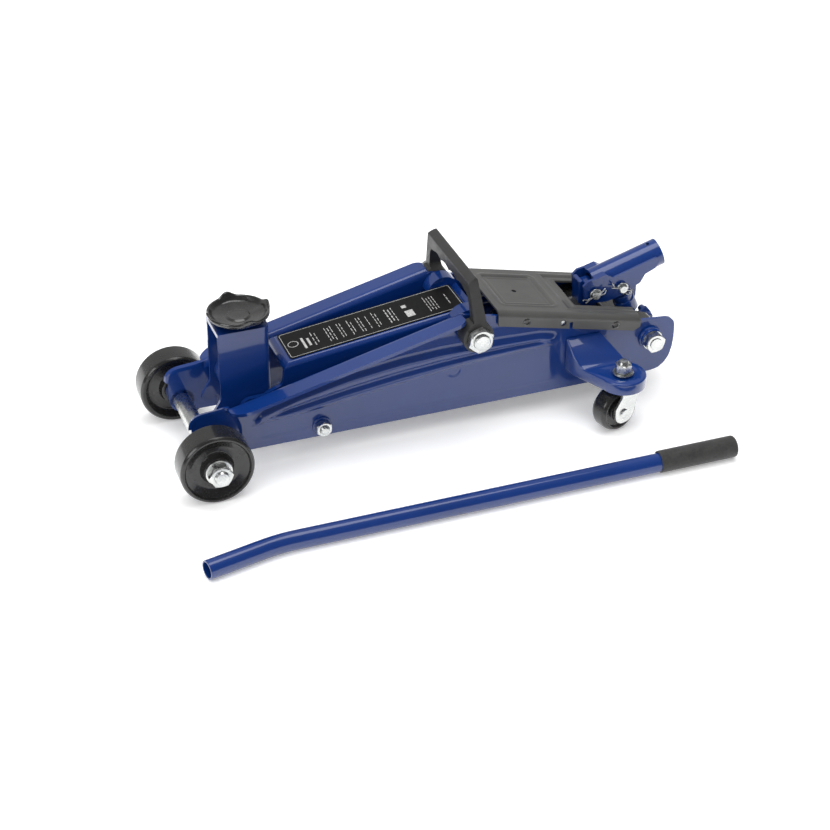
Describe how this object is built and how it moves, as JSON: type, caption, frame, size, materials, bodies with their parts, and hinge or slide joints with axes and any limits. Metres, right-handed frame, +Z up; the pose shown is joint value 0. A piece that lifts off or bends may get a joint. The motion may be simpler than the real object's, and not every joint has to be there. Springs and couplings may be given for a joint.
{
  "type": "car jack",
  "caption": "Low hydraulic trolley jack with side plates, lift arm, screw saddle, casters, carry handle, pump socket and a loose pump lever.",
  "frame": {"origin": "on the floor, below the middle of the bounding box of the jack and its loose lever", "axes": "+X towards the handle socket, +Y away from the loose lever, +Z up"},
  "size_m": [0.463, 0.2788, 0.1486],
  "materials": {
    "blue_paint": "glossy enamel",
    "black_paint": "satin enamel",
    "wheel_plastic": "glossy moulded plastic",
    "handle_plastic": "satin moulded plastic",
    "grip_rubber": "matt rubber",
    "cast_iron": "black painted casting",
    "bare_steel": "ground steel",
    "zinc_plate": "bright zinc plate",
    "label_black": "printed film"
  },
  "bodies": {
    "chassis": {"side_plate_left": "blue_paint", "side_plate_right": "blue_paint", "caster_bracket_left": "blue_paint", "caster_bracket_right": "blue_paint", "front_axle": "zinc_plate", "axle_washer_left": "zinc_plate", "axle_washer_right": "zinc_plate", "axle_nut_left": "zinc_plate", "axle_nut_right": "zinc_plate", "tie_bolt": "zinc_plate", "tie_nut_left": "zinc_plate", "tie_nut_right": "zinc_plate", "pivot_shaft": "bare_steel", "pivot_nut_left": "zinc_plate", "pivot_nut_right": "zinc_plate", "rear_bolt_left": "zinc_plate", "rear_bolt_right": "zinc_plate", "cover": "black_paint", "cover_screw_1": "black_paint", "cover_screw_2": "black_paint", "cover_screw_3": "black_paint", "cover_screw_4": "black_paint", "ram_cylinder": "cast_iron", "pump_block": "cast_iron", "pump_cylinder": "blue_paint"},
    "lift_arm": {"lift_arm": "blue_paint", "crosshead_pin": "bare_steel", "front_pin": "zinc_plate", "arm_label": "label_black"},
    "saddle_bracket": {"saddle_bracket": "blue_paint", "saddle_nut": "bare_steel", "link_pin_front": "zinc_plate"},
    "saddle_rise": {"saddle_stop_ring": "bare_steel"},
    "saddle": {"saddle": "cast_iron", "saddle_screw": "bare_steel"},
    "links": {"link_left": "blue_paint", "link_right": "blue_paint"},
    "ram": {"ram": "bare_steel"},
    "handle_socket": {"handle_socket": "blue_paint", "socket_pin": "zinc_plate", "plunger_pin": "zinc_plate", "socket_pin_clip": "zinc_plate", "plunger_pin_clip": "zinc_plate"},
    "plunger": {"pump_plunger": "bare_steel"},
    "release_valve": {"release_valve": "blue_paint"},
    "carry_handle": {"carry_handle": "handle_plastic"},
    "lever": {"lever_tube": "blue_paint", "lever_grip": "grip_rubber"},
    "front_wheel_left": {"front_wheel_left": "wheel_plastic"},
    "caster_left": {"caster_fork_left": "zinc_plate", "caster_nut_left": "zinc_plate"},
    "caster_wheel_left": {"caster_wheel_left": "wheel_plastic"},
    "front_wheel_right": {"front_wheel_right": "wheel_plastic"},
    "caster_right": {"caster_fork_right": "zinc_plate", "caster_nut_right": "zinc_plate"},
    "caster_wheel_right": {"caster_wheel_right": "wheel_plastic"}
  },
  "joints": [
    {"name": "lift_arm_pivot", "type": "hinge", "parent": "chassis", "child": "lift_arm", "pos_m": [0.038, 0.0395, 0.097], "axis": [0, 1, 0], "range_deg": [0, 62]},
    {"name": "saddle_bracket_pivot", "type": "hinge", "parent": "lift_arm", "child": "saddle_bracket", "pos_m": [-0.148, 0.0395, 0.048], "axis": [0, 1, 0], "range_deg": [-62, 0]},
    {"name": "saddle_rise", "type": "slide", "parent": "saddle_bracket", "child": "saddle_rise", "axis": [0, 0, 1], "range_m": [0, 0.047]},
    {"name": "saddle_turn", "type": "hinge", "parent": "saddle_rise", "child": "saddle", "pos_m": [-0.15, 0.0395, 0.121], "axis": [0, 0, 1], "range_deg": [0, 4230]},
    {"name": "link_pivot", "type": "hinge", "parent": "chassis", "child": "links", "pos_m": [0.033, 0.0395, 0.0797], "axis": [0, 1, 0], "range_deg": [0, 62]},
    {"name": "ram_push", "type": "slide", "parent": "chassis", "child": "ram", "axis": [-1, 0, 0], "range_m": [0, 0.04425]},
    {"name": "handle_socket_pivot", "type": "hinge", "parent": "chassis", "child": "handle_socket", "pos_m": [0.1629, 0.0395, 0.0913], "axis": [0, -1, 0], "range_deg": [0, 35]},
    {"name": "plunger_stroke", "type": "slide", "parent": "chassis", "child": "plunger", "axis": [-0.41, 0, 0.9121], "range_m": [0, 0.01514]},
    {"name": "release_valve_turn", "type": "hinge", "parent": "chassis", "child": "release_valve", "pos_m": [0.209, 0.0395, 0.047], "axis": [0.8202, 0, 0.5721], "range_deg": [0, 270]},
    {"name": "carry_handle_fold", "type": "hinge", "parent": "chassis", "child": "carry_handle", "pos_m": [0.038, 0.0395, 0.097], "axis": [0, 1, 0], "range_deg": [0, 66]},
    {"name": "lever_lift", "type": "slide", "parent": "chassis", "child": "lever", "axis": [0, 0, 1], "range_m": [0, 0.3]},
    {"name": "front_wheel_left_spin", "type": "hinge", "parent": "chassis", "child": "front_wheel_left", "pos_m": [-0.193, -0.0265, 0.031], "axis": [0, 1, 0], "continuous": true},
    {"name": "caster_left_swivel", "type": "hinge", "parent": "chassis", "child": "caster_left", "pos_m": [0.161, -0.0405, 0.05], "axis": [0, 0, 1], "continuous": true},
    {"name": "caster_wheel_left_spin", "type": "hinge", "parent": "caster_left", "child": "caster_wheel_left", "pos_m": [0.15335, -0.04284, 0.019], "axis": [-0.2924, 0.9563, 0], "continuous": true},
    {"name": "front_wheel_right_spin", "type": "hinge", "parent": "chassis", "child": "front_wheel_right", "pos_m": [-0.193, 0.1055, 0.031], "axis": [0, 1, 0], "continuous": true},
    {"name": "caster_right_swivel", "type": "hinge", "parent": "chassis", "child": "caster_right", "pos_m": [0.161, 0.1195, 0.05], "axis": [0, 0, 1], "continuous": true},
    {"name": "caster_wheel_right_spin", "type": "hinge", "parent": "caster_right", "child": "caster_wheel_right", "pos_m": [0.15335, 0.11716, 0.019], "axis": [-0.2924, 0.9563, 0], "continuous": true}
  ],
  "couplings": [
    {"joint": "saddle_bracket_pivot", "follows": "lift_arm_pivot", "ratio": -1},
    {"joint": "link_pivot", "follows": "lift_arm_pivot", "ratio": 1},
    {"joint": "ram_push", "follows": "lift_arm_pivot", "m_per_rad": 0.04089},
    {"joint": "plunger_stroke", "follows": "handle_socket_pivot", "m_per_rad": 0.02479},
    {"joint": "saddle_rise", "follows": "saddle_turn", "m_per_rad": 0.00063662}
  ]
}
